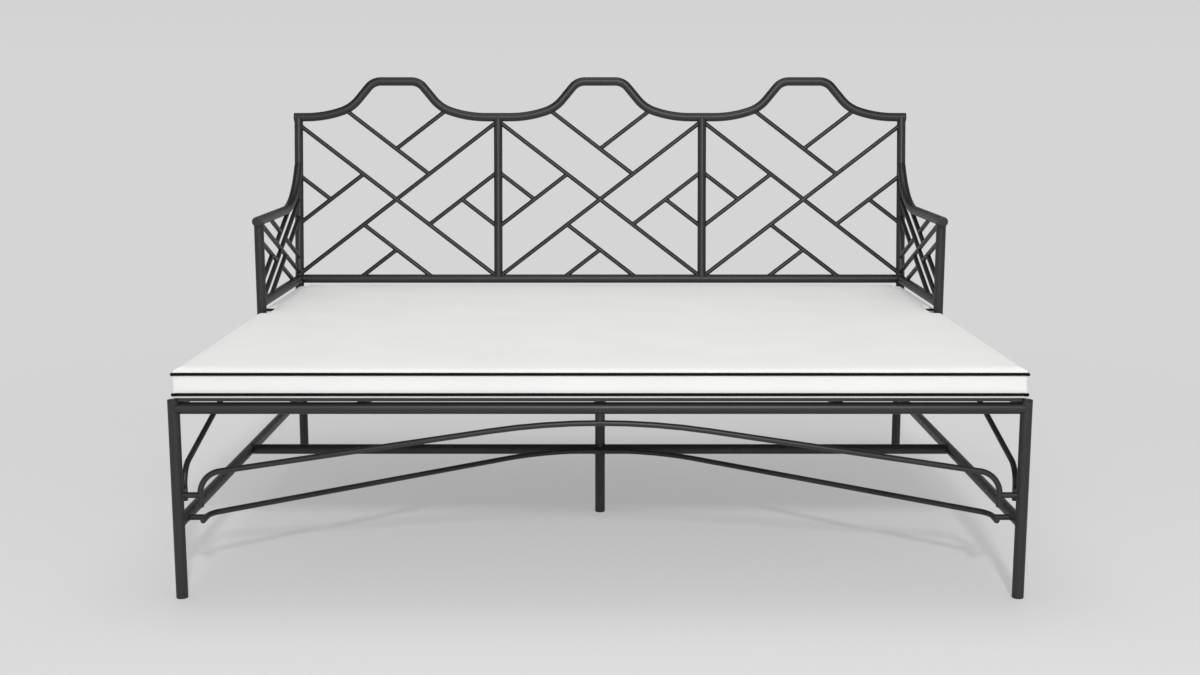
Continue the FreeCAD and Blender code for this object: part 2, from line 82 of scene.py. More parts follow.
def add_node(tree: NodeTree, kind: str, sockets: Optional[dict] = None, **settings: object) -> Node:
    """Add a node with its settings, values and links.

    Args:
        tree: The tree that takes the node.
        kind: The node's type name.
        sockets: Input name or index to a value, or to the output socket that feeds it.
        **settings: Properties of the node itself.

    Returns:
        The new node.
    """
    node = tree.nodes.new(kind)
    for name, value in settings.items():
        setattr(node, name, value)
    for key, value in (sockets or {}).items():
        if isinstance(value, NodeSocket):
            tree.links.new(value, node.inputs[key])
        else:
            node.inputs[key].default_value = value
    return node


def mesh_object(name: str, vertices: Iterable, edges: Iterable = (), faces: Iterable = ()) -> Object:
    """Make a mesh object at the origin and link it to the scene.

    Args:
        name: The object's name.
        vertices: Points in metres.
        edges: Pairs of vertex numbers.
        faces: Lists of vertex numbers.

    Returns:
        The new object.
    """
    mesh = bpy.data.meshes.new(name)
    mesh.from_pydata([tuple(v) for v in vertices], list(edges), list(faces))
    mesh.update()
    made = bpy.data.objects.new(name, mesh)
    bpy.context.scene.collection.objects.link(made)
    return made


def band(low: list[int], high: list[int]) -> list[list[int]]:
    """Join two closed rings of points by faces.

    Args:
        low: The lower ring's point numbers, or the one number of a pole.
        high: The upper ring's, turned the same way.

    Returns:
        The faces.
    """
    count = max(len(low), len(high))
    faces = []
    for index in range(count):
        after = (index + 1) % count
        if len(low) == 1:
            faces.append([low[0], high[after], high[index]])
        elif len(high) == 1:
            faces.append([low[index], low[after], high[0]])
        else:
            faces.append([low[index], low[after], high[after], high[index]])
    return faces


def coordinates(mesh: Mesh) -> np.ndarray:
    """Read a mesh's points.

    Args:
        mesh: The mesh.

    Returns:
        An array of shape (n, 3).
    """
    flat = np.zeros(len(mesh.vertices) * 3)
    mesh.vertices.foreach_get("co", flat)
    return flat.reshape(-1, 3)


def smooth_by_angle(mesh: Mesh) -> None:
    """Shade a mesh smooth and keep an edge sharp where its faces meet at more than the limit.

    Args:
        mesh: The mesh to shade.
    """
    work = bmesh.new()
    work.from_mesh(mesh)
    limit = math.radians(SMOOTH_LIMIT)
    for face in work.faces:
        face.smooth = True
    for edge in work.edges:
        edge.smooth = len(edge.link_faces) == 2 and edge.calc_face_angle(0.0) < limit
    work.to_mesh(mesh)
    work.free()


# Finishes
def new_material(name: str) -> tuple[Material, NodeTree, Node]:
    """Start a material.

    Args:
        name: The material's name.

    Returns:
        The material, its tree and its shader node.
    """
    made = bpy.data.materials.new(name)
    made.use_nodes = True
    return made, made.node_tree, made.node_tree.nodes["Principled BSDF"]


def weave_height(tree: NodeTree, place: NodeSocket, spacing: float) -> NodeSocket:
    """Add the height of a plain weave, threads along X, Y and Z.

    Args:
        tree: The material's tree.
        place: The coordinates to read.
        spacing: The distance from thread to thread.

    Returns:
        The socket that gives the height.
    """
    thread = {"Vector": place, "Scale": WAVE_PERIOD / spacing, "Distortion": 0.6, "Detail": 1.0}
    waves = [
        add_node(tree, "ShaderNodeTexWave", thread, wave_type="BANDS", bands_direction=axis)
        for axis in ("X", "Y", "Z")
    ]
    height = waves[0].outputs["Fac"]
    for wave in waves[1:]:
        height = add_node(
            tree, "ShaderNodeMath", {0: height, 1: wave.outputs["Fac"]}, operation="ADD"
        ).outputs[0]
    return height


@dataclass(frozen=True)
class Finish(ABC):
    """What the finishes share: two close colours laid in a pattern, over a fine relief."""

    name: str
    colour: str
    second_colour: str
    roughness: float
    specular: float
    relief: float
    relief_depth: float
    clouds: tuple[tuple[float, float], ...]  # size and detail of each cloudy pattern

    @abstractmethod
    def pattern(self, tree: NodeTree, place: NodeSocket, clouds: list[NodeSocket]) -> tuple:
        """Choose the finish's own pattern.

        Args:
            tree: The material's tree.
            place: The piece's own coordinates.
            clouds: The cloudy patterns.

        Returns:
            The share of the second colour and the height of the relief, both sockets.
        """

    def special(self, tree: NodeTree, shader: Node, share: NodeSocket) -> None:
        """Set what only some finishes have, here nothing.

        Args:
            tree: The material's tree.
            shader: Its shader node.
            share: The share of the second colour.
        """

    def material(self) -> Material:
        """Build the material.

        Returns:
            The material, named for the finish.
        """
        made, tree, shader = new_material(self.name)
        place = add_node(tree, "ShaderNodeTexCoord").outputs["Object"]
        clouds = []
        for size, detail in self.clouds:
            cloud = {"Vector": place, "Scale": 1 / size, "Detail": detail}
            clouds.append(add_node(tree, "ShaderNodeTexNoise", cloud).outputs[0])
        share, height = self.pattern(tree, place, clouds)
        colours = {0: share, 6: linear(self.colour), 7: linear(self.second_colour)}
        tone = add_node(tree, "ShaderNodeMix", colours, data_type="RGBA")
        bump = {"Strength": self.relief, "Distance": self.relief_depth, "Height": height}
        relief = add_node(tree, "ShaderNodeBump", bump)
        shader.inputs["Roughness"].default_value = self.roughness
        shader.inputs["Specular IOR Level"].default_value = self.specular
        tree.links.new(tone.outputs[2], shader.inputs["Base Color"])
        tree.links.new(relief.outputs[0], shader.inputs["Normal"])
        self.special(tree, shader, share)
        return made


@dataclass(frozen=True)
class PowderCoatedSteel(Finish):
    """Satin black powder coat baked on steel tube.

    It gives the eye a soft bright streak along each tube, darker flanks and a fine orange peel.
    """

    name: str = "satin_powder_coated_steel"
    colour: str = "#404041"
    second_colour: str = "#464647"
    roughness: float = 0.45
    rougher: tuple[float, float] = (-0.04, 0.05)  # change of roughness from cloud to cloud
    specular: float = 0.2
    sheen_share: float = 0.75  # the rest is scattered by the coat's matt body
    relief: float = 0.05
    relief_depth: float = 0.03 * MM
    clouds: tuple[tuple[float, float], ...] = ((90 * MM, 4.0), (2.5 * MM, 2.0))  # wear and orange peel

    def pattern(self, tree: NodeTree, place: NodeSocket, clouds: list[NodeSocket]) -> tuple:
        """Wear the colour in broad clouds and raise the orange peel."""
        return clouds[0], clouds[1]

    def special(self, tree: NodeTree, shader: Node, share: NodeSocket) -> None:
        """Let the metal shine through, and vary the gloss with the clouds.

        Args:
            tree: The material's tree.
            shader: Its shader node.
            share: The share of the second colour.
        """
        low, high = (self.roughness + change for change in self.rougher)
        gloss = add_node(tree, "ShaderNodeMapRange", {0: share, 3: low, 4: high})
        shader.inputs["Metallic"].default_value = self.sheen_share
        tree.links.new(gloss.outputs[0], shader.inputs["Roughness"])


@dataclass(frozen=True)
class WovenCover(Finish):
    """White woven polyester cover: matt, a close plain weave, a faint cloudiness where it was handled."""

    name: str = "white_woven_cover"
    colour: str = "#f4f4f3"
    second_colour: str = "#eaeae9"
    roughness: float = 0.88
    specular: float = 0.3
    sheen: float = 0.08
    relief: float = 0.3
    relief_depth: float = 0.12 * MM
    clouds: tuple[tuple[float, float], ...] = ((160 * MM, 5.0), (14 * MM, 3.0))  # handling and slubs
    thread_spacing: float = 1.5 * MM  # drawn about twice as coarse as the real thread, so that it shows

    def pattern(self, tree: NodeTree, place: NodeSocket, clouds: list[NodeSocket]) -> tuple:
        """Shade the cover in broad clouds, and raise the threads and their slubs."""
        heights = {0: weave_height(tree, place, self.thread_spacing), 1: clouds[1]}
        return clouds[0], add_node(tree, "ShaderNodeMath", heights, operation="ADD").outputs[0]

    def special(self, tree: NodeTree, shader: Node, share: NodeSocket) -> None:
        """Give the cloth its faint nap."""
        shader.inputs["Sheen Weight"].default_value = self.sheen


@dataclass(frozen=True)
class PipingCloth(Finish):
    """Black cotton piping: matt, with the close weave of its cloth."""

    name: str = "black_cotton_piping"
    colour: str = "#060607"
    second_colour: str = "#0e0e10"
    roughness: float = 0.9
    specular: float = 0.1
    relief: float = 0.4
    relief_depth: float = 0.1 * MM
    clouds: tuple[tuple[float, float], ...] = ()
    thread_spacing: float = 1.1 * MM

    def pattern(self, tree: NodeTree, place: NodeSocket, clouds: list[NodeSocket]) -> tuple:
        """Shade and raise the threads."""
        weave = weave_height(tree, place, self.thread_spacing)
        return weave, weave


@dataclass(frozen=True)
class MouldedPlastic(Finish):
    """Black moulded polyethylene of the foot glides: dull, slightly scuffed."""

    name: str = "black_moulded_polyethylene"
    colour: str = "#161617"
    second_colour: str = "#232324"
    roughness: float = 0.55
    specular: float = 0.5
    relief: float = 0.3
    relief_depth: float = 0.05 * MM
    clouds: tuple[tuple[float, float], ...] = ((3 * MM, 4.0),)  # scuffs

    def pattern(self, tree: NodeTree, place: NodeSocket, clouds: list[NodeSocket]) -> tuple:
        """Shade and raise the scuffs."""
        return clouds[0], clouds[0]


# Round bars
class Stock(Enum):
    """The two sizes of steel in the frame, by outer radius."""

    TUBE = 12.7 * MM
    ROD = 6.35 * MM


@dataclass(frozen=True)
class Plane:
    """A flat working plane."""

    origin: Vector
    across: Vector
    up: Vector

    def at(self, across: float, up: float) -> Vector:
        """Give the point at a distance across and a distance up.

        Args:
            across: The distance across.
            up: The distance up.

        Returns:
            The point.
        """
        return self.origin + self.across * across + self.up * up


@dataclass
class Bar:
    """One length of steel, by the line of its middle."""

    line: list[Vector]
    stock: Stock
    free_start: bool = False
    free_end: bool = False

    @property
    def radius(self) -> float:
        """The bar's outer radius."""
        return self.stock.value

    def points(self) -> np.ndarray:
        """The line as an array."""
        return np.array([tuple(p) for p in self.line])


def bent_line(plane: Plane, start: tuple[float, float], heading: float, moves: Iterable) -> list[Vector]:
    """Walk a line as a tube bender does.

    Args:
        plane: The plane of the bends.
        start: Distances across and up.
        heading: The first direction in degrees.
        moves: Each a straight length, then a bend radius and a turn in degrees, positive to the left.

    Returns:
        The line's points.
    """
    across, up = start
    angle = math.radians(heading)
    points = [plane.at(across, up)]
    for length, radius, turn in moves:
        if length > 0:
            across += length * math.cos(angle)
            up += length * math.sin(angle)
            points.append(plane.at(across, up))
        if turn:
            side = math.copysign(radius, turn)
            centre = (across - side * math.sin(angle), up + side * math.cos(angle))
            steps = max(2, round(abs(turn) / BEND_STEP))
            for step in range(1, steps + 1):
                stop = angle + math.radians(turn) * step / steps
                across = centre[0] + side * math.sin(stop)
                up = centre[1] - side * math.cos(stop)
                points.append(plane.at(across, up))
            angle = stop
    return points


def distance_to_line(points: np.ndarray, line: np.ndarray) -> np.ndarray:
    """Measure how far points lie from a line of straight runs.

    Args:
        points: An array of shape (n, 3).
        line: The line's corners, of shape (m, 3).

    Returns:
        The n distances.
    """
    start, run = line[:-1], np.diff(line, axis=0)
    squares = np.maximum((run * run).sum(1), TINY**2)
    offset = points[:, None, :] - start[None, :, :]
    share = np.clip((offset * run[None]).sum(2) / squares, 0, 1)
    near = offset - share[..., None] * run[None]
    return np.sqrt((near * near).sum(2)).min(1)


@lru_cache
def sweep_tree() -> GeometryNodeTree:
    """Build the tree that sweeps a round bar along each line of a mesh, once for all pieces.

    Returns:
        A tree with the inputs Radius, Sides and Finish, which reads each point's share of the radius
        from the attribute "swell".
    """
    tree = bpy.data.node_groups.new("round_bars", "GeometryNodeTree")
    inputs = {"Lines": "Geometry", "Radius": "Float", "Sides": "Int", "Finish": "Material"}
    for name, kind in inputs.items():
        tree.interface.new_socket(name, in_out="INPUT", socket_type=f"NodeSocket{kind}")
    tree.interface.new_socket("Bars", in_out="OUTPUT", socket_type="NodeSocketGeometry")
    given = add_node(tree, "NodeGroupInput").outputs
    swell = add_node(tree, "GeometryNodeInputNamedAttribute", {"Name": "swell"}, data_type="FLOAT")
    curve = add_node(tree, "GeometryNodeMeshToCurve", {0: given["Lines"]})
    ring = {"Resolution": given["Sides"], "Radius": given["Radius"]}
    profile = add_node(tree, "GeometryNodeCurvePrimitiveCircle", ring)
    swept = {"Curve": curve.outputs[0], "Profile Curve": profile.outputs[0]}
    swept.update({"Scale": swell.outputs[0], "Fill Caps": True})
    bars = add_node(tree, "GeometryNodeCurveToMesh", swept)
    real = add_node(tree, "GeometryNodeRealizeInstances", {0: bars.outputs[0]})
    dressed = add_node(tree, "GeometryNodeSetMaterial", {0: real.outputs[0], "Material": given["Finish"]})
    add_node(tree, "NodeGroupOutput", {0: dressed.outputs[0]})
    return tree


def run_tree(carrier: Object, tree: GeometryNodeTree, values: dict[str, object]) -> None:
    """Run a tree on an object and leave the plain mesh that it makes.

    Args:
        carrier: The object whose mesh goes in and is replaced by what comes out.
        tree: The tree to run.
        values: Input name to value.
    """
    modifier = carrier.modifiers.new(tree.name, "NODES")
    modifier.node_group = tree
    for item in tree.interface.items_tree:
        if item.item_type == "SOCKET" and item.in_out == "INPUT" and item.name in values:
            modifier[item.identifier] = values[item.name]
    graph = bpy.context.evaluated_depsgraph_get()
    made = bpy.data.meshes.new_from_object(carrier.evaluated_get(graph))
    carrier.modifiers.clear()
    old, carrier.data = carrier.data, made
    bpy.data.meshes.remove(old)
    made.name = carrier.name


def sweep(
    name: str,
    lines: Sequence[np.ndarray],
    radius: float,
    sides: int,
    finish: Material,
    swells: Optional[Sequence[np.ndarray]] = None,
) -> Object:
    """Sweep round bars along lines with the shared tree.

    Args:
        name: The piece's name.
        lines: Each line's points.
        radius: The bars' radius.
        sides: The corners of a bar's section.
        finish: The bars' finish.
        swells: Each open line's shares of the radius, point by point. Lines without them are loops
            of even radius.

    Returns:
        The piece, a plain mesh.
    """
    edges, count = [], 0
    for line in lines:
        last = len(line)
        edges += [(count + i, count + i + 1) for i in range(last - 1)]
        if swells is None:
            edges.append((count + last - 1, count))
        count += last
    piece = mesh_object(name, np.concatenate(lines), edges)
    attribute = piece.data.attributes.new("swell", "FLOAT", "POINT")
    shares = np.ones(count) if swells is None else np.concatenate(swells)
    attribute.data.foreach_set("value", shares.astype(np.float32))
    run_tree(piece, sweep_tree(), {"Radius": radius, "Sides": sides, "Finish": finish})
    smooth_by_angle(piece.data)
    LOG.info("%s: %d bars, %d faces", name, len(lines), len(piece.data.polygons))
    return piece


def centre_of(node: str) -> Vector:
    """Give the middle of a CAD node's box.

    Args:
        node: The CAD node.

    Returns:
        The middle.
    """
    low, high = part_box(node)
    return (low + high) / 2


# Steelwork
@dataclass
class Steelwork:
    """Every tube and rod of the frame, by the CAD node that it stands for."""

    finish: Material
    tube_sides: int = 40
    rod_sides: int = 28
    deburr: float = 0.6 * MM
    nodes: dict[str, list[Bar]] = field(default_factory=dict)

    def straight_from_box(self, node: str) -> None:
        """Read a level or upright tube's line from its node's box.

        Args:
            node: The CAD node.
        """
        low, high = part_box(node)
        centre, size = (low + high) / 2, high - low
        axis = max(range(3), key=lambda i: size[i])
        half = Vector([size[i] / 2 if i == axis else 0 for i in range(3)])
        self.nodes[node] = [Bar([centre - half, centre + half], Stock.TUBE)]

    def lines(self, bar: Bar) -> tuple[np.ndarray, np.ndarray]:
        """Give a bar's points and swell, with its free ends deburred.

        Args:
            bar: The bar.

        Returns:
            The points and the share of the radius at each.
        """
        points = list(bar.line)
        swell = [1.0] * len(points)
        share = 1 - self.deburr / bar.radius
        if bar.free_start:
            step = (points[1] - points[0]).normalized() * self.deburr
            points.insert(1, points[0] + step)
            swell.insert(0, share)
        if bar.free_end:
            step = (points[-2] - points[-1]).normalized() * self.deburr
            points.insert(-1, points[-1] + step)
            swell.append(share)
        return np.array([tuple(p) for p in points]), np.array(swell)

    def build(self) -> None:
        """Sweep every bar, one piece for each node."""
        for node, bars in self.nodes.items():
            lines, swells = zip(*(self.lines(bar) for bar in bars))
            sides = self.tube_sides if bars[0].stock is Stock.TUBE else self.rod_sides
            piece = sweep(f"{node}_round", lines, bars[0].radius, sides, self.finish, swells)
            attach(piece, "frame")
            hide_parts(node)


@dataclass
class BaseFrame:
    """Legs, rails, beams, stretchers, hooked arches and the bow rod."""

    steel: Steelwork
    rod_gap: float = 13.5 * MM  # from the front rail down to the top of its arch
    front_inset: float = 48.9 * MM
    side_inset: float = 56.3 * MM
    hook_radius: float = 50 * MM
    front_drop: float = 111.3 * MM
    side_drop: float = 113.5 * MM
    front_crown_share: float = 0.138
    side_crown_share: float = 0.244
    front_tail: float = 29.5 * MM
    side_tail: float = 31.8 * MM
    stub_rise: float = 26.4 * MM
    bow_inset: float = 46.7 * MM
    bow_setback: float = 77.4 * MM
    bow_crown_share: float = 0.1547
    bow_tail: float = 33.7 * MM
    bow_stub_setback: float = 27.3 * MM

    def __post_init__(self) -> None:
        """Read the places of the legs and rails from the CAD."""
        rear_leg = centre_of("rear_leg_right")
        self.half, self.rear = rear_leg.x, rear_leg.y
        self.front = centre_of("front_leg_left").y
        self.rail = centre_of("front_seat_rail").z
        self.deck = centre_of("side_rail_left").z
        self.low = centre_of("side_stretcher_left").z
        self.peak = self.rail - Stock.TUBE.value - self.rod_gap - Stock.ROD.value

    def arch(self, reach: float, drop: float, crown_share: float, tail: float) -> tuple[list, float]:
        """Work out the bends of a hooked arch.

        Args:
            reach: From the middle to a hook.
            drop: From the crown down to a hook's corner.
            crown_share: Where the sloping runs would meet the crown line.
            tail: The straight end of a hook.

        Returns:
            The bender's moves, and how far the feet are below the crown.
        """
        level_run = reach * (1 - crown_share)
        slope = math.atan2(drop, level_run)
        turn = math.pi / 2 - slope
        crown_tangent = reach * crown_share
        hook_tangent = self.hook_radius * math.tan(turn / 2)
        run = math.hypot(drop, level_run) - crown_tangent - hook_tangent
        hook = (tail, self.hook_radius, -math.degrees(turn))
        crown = (run, crown_tangent / math.tan(slope / 2), -2 * math.degrees(slope))
        moves = [hook, crown, (run, self.hook_radius, -math.degrees(turn)), (tail, 0, 0)]
        return moves, drop + hook_tangent + tail

    def hang(
        self, node: str, plane: Plane, reach: float, post_reach: float, rail: float, shape: tuple
    ) -> None:
        """Add an arch with the stubs that tie it to its rail and legs.

        Args:
            node: The arch's CAD node.
            plane: The arch's plane, from the middle.
            reach: From the middle to a hook.
            post_reach: From the middle to a leg.
            rail: The height of the rail's axis.
            shape: Drop, crown share and tail.
        """
        moves, fall = self.arch(reach, *shape)
        line = bent_line(plane, (-reach, self.peak - fall), 90, moves)
        self.steel.nodes[node] = [Bar(line, Stock.ROD, True, True)]
        stub = self.peak - fall + self.stub_rise
        crown = Bar([plane.at(0, self.peak), plane.at(0, rail)], Stock.ROD)
        self.steel.nodes[f"{node}_stubs"] = [crown, *self.hook_stubs(plane, reach, post_reach, stub)]

    @staticmethod
    def hook_stubs(plane: Plane, reach: float, post_reach: float, height: float) -> list[Bar]:
        """Give the two stubs that tie an arch's hooks.

        Args:
            plane: The arch's plane, from the middle.
            reach: From the middle to a hook.
            post_reach: From the middle to what holds it.
            height: The stubs' height in the plane.

        Returns:
            The stubs, left and right.
        """
        return [
            Bar([plane.at(sign * reach, height), plane.at(sign * post_reach, height)], Stock.ROD)
            for sign in (-1, 1)
        ]

    def lay_out(self) -> None:
        """Add every bar of the base."""
        pairs = ("front_leg", "rear_leg", "side_rail", "side_stretcher", "cross_stretcher", "deck_beam")
        for node in [f"{node}_{side}" for side in SIDES for node in pairs]:
            self.steel.straight_from_box(node)
        for node in ("deck_beam_centre", "centre_leg", "front_seat_rail", "rear_seat_rail"):
            self.steel.straight_from_box(node)
        shape = (self.front_drop, self.front_crown_share, self.front_tail)
        for node, y in (("front_arch", self.front), ("rear_arch", self.rear)):
            plane = Plane(Vector((0, y, 0)), ACROSS, UP)
            self.hang(node, plane, self.half - self.front_inset, self.half, self.rail, shape)
        shape = (self.side_drop, self.side_crown_share, self.side_tail)
        middle = (self.front + self.rear) / 2
        depth = (self.rear - self.front) / 2
        for node, x in (("side_arch_left", -self.half), ("side_arch_right", self.half)):
            plane = Plane(Vector((x, middle, 0)), BACK, UP)
            self.hang(node, plane, depth - self.side_inset, depth, self.deck, shape)
        cross = centre_of("cross_stretcher_left").y
        self.bow(Plane(Vector((0, self.front, self.low)), ACROSS, BACK), cross - self.front)

    def bow(self, plane: Plane, cross: float) -> None:
        """Add the bow rod and its stubs.

        Args:
            plane: The level plane of the stretchers, from the front legs.
            cross: The cross stretcher's distance behind the front legs.
        """
        reach = self.half - self.bow_inset
        peak = cross - Stock.TUBE.value - Stock.ROD.value
        moves, fall = self.arch(reach, peak - self.bow_setback, self.bow_crown_share, self.bow_tail)
        line = bent_line(plane, (-reach, peak - fall), 90, moves)
        self.steel.nodes["bow_rod"] = [Bar(line, Stock.ROD, True, True)]
        stub = peak - fall + self.bow_stub_setback
        self.steel.nodes["bow_rod_stubs"] = self.hook_stubs(plane, reach, self.half, stub)


@dataclass
class Lattice:
    """The fretwork pattern, eleven rods that each rest on another rod or on the frame."""

    offset: float
    reach: float
    hosts: list[Bar]
    step: float = 1 * MM
    passage: float = 4  # host radii in which a rod's line comes nearest to its host's

    def rods(self, place: Callable[[float, float], Vector]) -> list[Bar]:
        """Lay one panel.

        Args:
            place: Maps the panel's shares, from -1 to 1 each way, to a point.

        Returns:
            The rods, each ended in the middle of what it meets.
        """
        offset = self.offset
        half_pattern = [
            ((0, 0), (1, 1)),
            ((offset / 2, offset / 2), (offset - 1, 1)),
            ((0, offset), (1 - offset, 1)),
            ((offset / 2, -offset / 2), (1, 1 - offset)),
            ((offset, 0), (1, offset - 1)),
        ]
        ends = [self.trimmed(place(0, 0), place(sign, -sign)) for sign in (-1, 1)]
        rods = [Bar(ends, Stock.ROD)]
        for sign in (1, -1):
            for inner, outer in half_pattern:
                start = place(sign * inner[0], sign * inner[1])
                end = self.trimmed(start, place(sign * outer[0], sign * outer[1]))
                rods.append(Bar([start, end], Stock.ROD))
        return rods

    def trimmed(self, start: Vector, end: Vector) -> Vector:
        """Carry a rod on past its nominal end and stop it in the middle of the bar that it meets.

        Args:
            start: The rod's resting end.
            end: Its nominal other end.

        Returns:
            The true end.
        """
        along = (end - start).normalized()
        length = (end - start).length + self.reach
        reaches = np.arange(0, length, self.step)
        points = np.array(start)[None] + reaches[:, None] * np.array(along)[None]
        best = length
        for host in self.hosts:
            away = distance_to_line(points, host.points())
            inside = np.nonzero(away < host.radius)[0]
            if len(inside) and reaches[inside[0]] < best:
                first = inside[0]
                past = away[first : first + int(self.passage * host.radius / self.step)]
                best = reaches[first + int(np.argmin(past))]
        return start + along * float(best)


@dataclass
class Back:
    """The reclined back: posts, bottom rail, humped crest rail and three lattices.

    Shares are of half a bay's width, and the lattice's of the height of the crest's valleys.
    """

    steel: Steelwork
    recline: float = 7.43  # degrees from upright
    valley_rise: float = 483.1 * MM
    hump_rise: float = 106.4 * MM
    crest_overhang: float = 13.3 * MM
    cap: float = 2 * MM
    hump_slope: float = 50.4  # degrees
    foot_slope: float = 18.6  # degrees
    flat_share: float = 0.149
    shoulder_share: float = 0.157
    foot_share: float = 0.367
    sweep_share: float = 1.091
    lattice_centre_share: float = 0.492
    lattice_height_share: float = 0.485
    lattice_offset: float = 0.644

    def __post_init__(self) -> None:
        """Read the back's seat from the CAD."""
        rail = centre_of("back_bottom_rail")
        angle = math.radians(self.recline)
        up = Vector((0, math.sin(angle), math.cos(angle)))
        self.plane = Plane(Vector((0, rail.y, rail.z)), ACROSS, up)
        self.half = centre_of("rear_leg_right").x
        self.half_crest = self.half + self.crest_overhang
        self.bay = self.half_crest * 2 / 3

    def crest_line(self) -> list[Vector]:
        """Walk the crest rail, one hump a bay.

        Returns:
            The line's points, from cap to cap.
        """
        half_bay = self.bay / 2
        shoulder = self.shoulder_share * half_bay
        foot = self.foot_share * half_bay
        sweep_radius = self.sweep_share * half_bay
        flat = self.flat_share * half_bay
        steep, gentle = math.radians(self.hump_slope), math.radians(self.foot_slope)
        rise = (
            shoulder * (1 - math.cos(steep))
            + foot * (math.cos(gentle) - math.cos(steep))
            + sweep_radius * (1 - math.cos(gentle))
        )
        climb = (self.hump_rise - rise) / math.sin(steep)
        run = (
            shoulder * math.sin(steep)
            + foot * (math.sin(steep) - math.sin(gentle))
            + sweep_radius * math.sin(gentle)
        )
        lead = half_bay - flat - run - climb * math.cos(steep)
        tight = self.hump_slope - self.foot_slope
        hump = [
            (0, foot, tight),
            (climb, shoulder, -self.hump_slope),
            (2 * flat, shoulder, -self.hump_slope),
            (climb, foot, tight),
            (0, sweep_radius, self.foot_slope),
        ]
        moves: list = []
        for index in range(3):
            moves += [(2 * lead if index else lead - self.cap, sweep_radius, self.foot_slope), *hump]
        moves.append((lead - self.cap, 0, 0))
        return bent_line(self.plane, (self.cap - self.half_crest, self.valley_rise), 0, moves)

    def crest_ends(self) -> list[tuple[Vector, Vector]]:
        """Give the seats of the crest rail's caps.

        Returns:
            The point and the outward direction of each.
        """
        reach = self.half_crest - self.cap
        return [(self.plane.at(sign * reach, self.valley_rise), sign * ACROSS) for sign in (-1, 1)]

    def lay_out(self) -> None:
        """Add every bar of the back."""
        nodes = self.steel.nodes
        self.steel.straight_from_box("back_bottom_rail")
        nodes["crest_rail"] = [Bar(self.crest_line(), Stock.TUBE)]
        names = ["back_bottom_rail", "crest_rail"]
        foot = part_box("back_post_left")[0].z - self.plane.origin.z
        foot /= self.plane.up.z
        for post, reach, start in (("back_post", self.half, foot), ("inner_post", self.bay / 2, 0)):
            for side, x in zip(SIDES, (-reach, reach)):
                ends = [self.plane.at(x, start), self.plane.at(x, self.valley_rise)]
                nodes[f"{post}_{side}"] = [Bar(ends, Stock.TUBE)]
                names.append(f"{post}_{side}")
        pattern = Lattice(self.lattice_offset, self.hump_rise, [nodes[name][0] for name in names])
        for name, middle in (("left", -self.bay), ("centre", 0.0), ("right", self.bay)):
            nodes[f"back_lattice_{name}"] = pattern.rods(self.panel(middle))

    def panel(self, middle: float) -> Callable[[float, float], Vector]:
        """Give the map from a panel's shares to its points.

        Args:
            middle: The bay's middle across the back.

        Returns:
            The map.
        """

        def place(across: float, up: float) -> Vector:
            """Turn shares into a point."""
            height = self.lattice_centre_share + self.lattice_height_share * up
            return self.plane.at(middle + across * self.bay / 2, self.valley_rise * height)

        return place


@dataclass
class Arms:
    """Both arms: post, bottom rail, swept arm rail and lattice."""

    steel: Steelwork
    back: Back
    height: float = 219 * MM
    overhang: float = 24 * MM
    cap: float = 2 * MM
    sweep_radius: float = 262.6 * MM
    sweep_angle: float = 59.2  # degrees, to the middle of the back post
    end_cut: float = 2.6  # degrees of the sweep that the square-cut upper end leaves out
    lattice_centre_share: float = 0.5156
    lattice_lift_share: float = 0.03
    lattice_offset: float = 0.44

    def lay_out(self) -> None:
        """Add every bar of both arms."""
        nodes = self.steel.nodes
        slope = math.tan(math.radians(self.back.recline))
        foot = self.back.plane.origin
        top = foot.z + self.height
        turn = math.radians(self.sweep_angle)
        landing = top + self.sweep_radius * (1 - math.cos(turn))
        landing_depth = foot.y + (landing - foot.z) * slope
        for side in SIDES:
            post = centre_of(f"arm_post_{side}")
            plane = Plane(Vector((post.x, 0, 0)), BACK, UP)
            front = post.y - self.overhang + self.cap
            run = landing_depth - self.sweep_radius * math.sin(turn) - front
            sweep_up = (run, self.sweep_radius, self.sweep_angle - self.end_cut)
            line = bent_line(plane, (front, top), 0, [sweep_up])
            nodes[f"arm_rail_{side}"] = [Bar(line, Stock.TUBE, False, True)]
            seat = centre_of(f"side_rail_{side}").z
            upright = [plane.at(post.y, seat), plane.at(post.y, top)]
            level = [plane.at(post.y, foot.z), plane.at(foot.y, foot.z)]
            nodes[f"arm_post_{side}"] = [Bar(upright, Stock.TUBE)]
            nodes[f"arm_bottom_rail_{side}"] = [Bar(level, Stock.TUBE)]
            holders = ("arm_rail", "arm_post", "arm_bottom_rail", "back_post")
            hosts = [nodes[f"{name}_{side}"][0] for name in holders]
            pattern = Lattice(self.lattice_offset, self.height / 2, hosts)
            nodes[f"arm_lattice_{side}"] = pattern.rods(self.panel(plane, post.y))

    def panel(self, plane: Plane, post: float) -> Callable[[float, float], Vector]:
        """Give the map from an arm panel's shares to its points, rising to the back.

        Args:
            plane: The arm's plane.
            post: The arm post's depth.

        Returns:
            The map.
        """
        foot = self.back.plane.origin
        half_length = (foot.y - post) * self.lattice_centre_share
        middle = post + half_length
        lift = self.height * self.lattice_lift_share
        half_height = self.height / 2

        def place(across: float, up: float) -> Vector:
            """Turn shares into a point."""
            height = foot.z + half_height + lift + half_height * up - lift * across
            return plane.at(middle - across * half_length, height)

        return place


